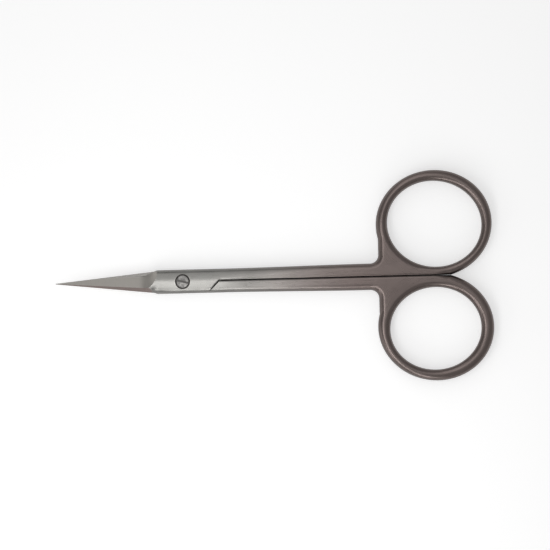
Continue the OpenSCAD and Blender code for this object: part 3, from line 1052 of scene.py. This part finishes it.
class SCISSORS_OT_pivot_screw(bpy.types.Operator):
    """Build the slotted pivot screw"""

    bl_idname = "scissors.pivot_screw"
    bl_label = "Pivot Screw"

    def execute(self, context):
        scene = context.scene
        j, s = scene.scissors_joint, scene.scissors_screw
        top = j.joint_t - j.back_grind - s.head_sink
        screw_r, head_r = s.screw_d / 2, s.head_d / 2
        profile = [
            (0.0, s.end_sink),
            (screw_r - s.end_bevel, s.end_sink),
            (screw_r, s.end_sink + s.end_bevel),
            (screw_r, top - s.head_t),
            (head_r, top - s.head_t),
        ]
        for t in spread(0.0, math.pi / 2, HEAD_BEVEL_N):
            bend = polar(t, s.head_bevel)
            profile.append((head_r - s.head_bevel + bend.x, top - s.head_bevel + bend.y))
        profile.append((0.0, top))
        bm = bmesh.new()
        verts = [bm.verts.new((r, 0.0, z)) for r, z in profile]
        edges = [bm.edges.new(pair) for pair in zip(verts, verts[1:])]
        turn = {"axis": (0, 0, 1), "cent": (0, 0, 0), "angle": math.tau, "steps": ROUND_N}
        bmesh.ops.spin(bm, geom=verts + edges, use_merge=True, **turn)
        close(bm)
        piece = to_object(bm, "slotted_screw", turned_steel())
        bm = bmesh.new()
        size = Matrix.Diagonal((2 * s.head_d, s.slot_w, 2 * s.slot_depth, 1.0))
        place = Matrix.Translation((0, 0, top)) @ Matrix.Rotation(s.slot_turn, 4, "Z") @ size
        bmesh.ops.create_cube(bm, size=1.0, matrix=place)
        complete(piece, [to_object(bm, "slot_cutter", slotted_steel())], "pivot_screw")
        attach(piece, "lower")
        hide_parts("pivot_screw")
        return {"FINISHED"}


WHITE = (1.0, 1.0, 1.0, 1.0)
FLOOR_ROUGHNESS = 0.9
# Half the floor's width, and how far the camera sees, in metres
FLOOR_REACH = 3.0
SIGHT = 20.0


def lamp(name, place, aim, size, shine):
    """A soft rectangular lamp at place, turned to shine on aim; all lengths in millimetres.

    Its surface shines at the level given, where 1 is white.
    """
    data = bpy.data.lights.new(name, "AREA")
    data.shape = "RECTANGLE"
    data.size, data.size_y = size[0] * MM, size[1] * MM
    data.energy = shine * math.pi * data.size * data.size_y
    made = bpy.data.objects.new(name, data)
    at, to = Vector(place) * MM, Vector(aim) * MM
    made.matrix_world = Matrix.Translation(at) @ (at - to).to_track_quat("Z", "Y").to_matrix().to_4x4()
    made.visible_camera = False
    bpy.context.scene.collection.objects.link(made)


# Place, aim, width and height in millimetres, and level of each lamp
LAMPS = {
    "key": ((-4, -68, 110), (-4, -68, 0), (42, 152), 2.2),
    "front_low": ((10, -236, 110), (10, 0, 0), (70, 70), 3.4),
    "left_low": ((-229, -78, 67), (10, 0, 0), (150, 75), 0.75),
    "corner": ((-157, -151, 130), (10, 0, 0), (70, 70), 2.4),
    "back": ((-20, 196, 171), (-10, 0, 0), (140, 134), 0.55),
    "back_high": ((25, 89, 244), (10, 0, 0), (100, 130), 0.88),
    "zenith": ((36, 0, 280), (36, 0, 0), (90, 90), 0.45),
}


def white_where_seen(tree, strength):
    """Strength for rays that show the background: from the camera, in metal and through glass."""
    path = add_node(tree, "ShaderNodeLightPath").outputs
    seen = math_node(tree, "MAXIMUM", path["Is Camera Ray"], path["Is Glossy Ray"])
    seen = math_node(tree, "MAXIMUM", seen, path["Is Transmission Ray"])
    return math_node(tree, "MULTIPLY", seen, strength)


class SCISSORS_OT_stage(bpy.types.Operator):
    """Set up the pale floor, the soft lamps and the camera"""

    bl_idname = "scissors.stage"
    bl_label = "Stage"

    def execute(self, context):
        scene = context.scene
        s = scene.scissors_stage
        low, high = cad_bounds

        bm = bmesh.new()
        bmesh.ops.create_grid(bm, x_segments=1, y_segments=1, size=FLOOR_REACH)
        bmesh.ops.translate(bm, verts=bm.verts, vec=(0, 0, low[2]))
        material, tree = new_material("pale_floor")
        shader = tree.nodes["Principled BSDF"]
        shader.inputs["Base Color"].default_value = as_color(s.floor)
        shader.inputs["Roughness"].default_value = FLOOR_ROUGHNESS
        shader.inputs["Specular IOR Level"].default_value = 0.0
        shader.inputs["Emission Color"].default_value = WHITE
        tree.links.new(white_where_seen(tree, s.glow), shader.inputs["Emission Strength"])
        to_object(bm, "floor", material)

        world = bpy.data.worlds.new("soft_room")
        world.use_nodes = True
        background = world.node_tree.nodes["Background"]
        background.inputs["Color"].default_value = WHITE
        background.inputs["Strength"].default_value = s.sky
        scene.world = world
        for name, (place, aim, size, shine) in LAMPS.items():
            lamp(name, place, aim, size, shine)

        data = bpy.data.cameras.new("view")
        data.lens = data.sensor_width * s.view_far / s.view_w
        data.clip_end = SIGHT
        camera = bpy.data.objects.new("view", data)
        at = Vector((s.view_x, s.view_y, high[2] + s.view_far))
        camera.matrix_world = Matrix.Translation(at) @ Matrix.Rotation(-s.view_turn, 4, "Z")
        scene.collection.objects.link(camera)
        scene.camera = camera
        scene.view_settings.view_transform = "Standard"
        return {"FINISHED"}


class SCISSORS_PT_panel(bpy.types.Panel):
    """Sizes, colours and pieces of the scissors"""

    bl_idname = "SCISSORS_PT_panel"
    bl_label = "Manicure Scissors"
    bl_space_type = "VIEW_3D"
    bl_region_type = "UI"
    bl_category = "Scissors"

    def draw(self, context):
        for operator in OPERATORS:
            self.layout.operator(operator.bl_idname)
        for group in GROUPS:
            box = self.layout.box()
            box.label(text=group.__name__)
            values = getattr(context.scene, GROUPS[group])
            for key in group.__annotations__:
                box.prop(values, key)


GROUPS = {
    ScissorsJoint: "scissors_joint",
    ScissorsBlade: "scissors_blade",
    ScissorsHandle: "scissors_handle",
    ScissorsScrew: "scissors_screw",
    ScissorsFinish: "scissors_finish",
    ScissorsStage: "scissors_stage",
}
OPERATORS = (SCISSORS_OT_stage, SCISSORS_OT_bottom_half, SCISSORS_OT_top_half, SCISSORS_OT_pivot_screw)


def register():
    for group, name in GROUPS.items():
        bpy.utils.register_class(group)
        setattr(bpy.types.Scene, name, PointerProperty(type=group))
    for cls in (*OPERATORS, SCISSORS_PT_panel):
        bpy.utils.register_class(cls)


def unregister():
    for cls in (SCISSORS_PT_panel, *reversed(OPERATORS)):
        bpy.utils.unregister_class(cls)
    for group, name in GROUPS.items():
        delattr(bpy.types.Scene, name)
        bpy.utils.unregister_class(group)


def main():
    register()
    bpy.ops.scissors.stage()
    bpy.ops.scissors.bottom_half()
    bpy.ops.scissors.top_half()
    bpy.ops.scissors.pivot_screw()


if __name__ == "__main__":
    main()
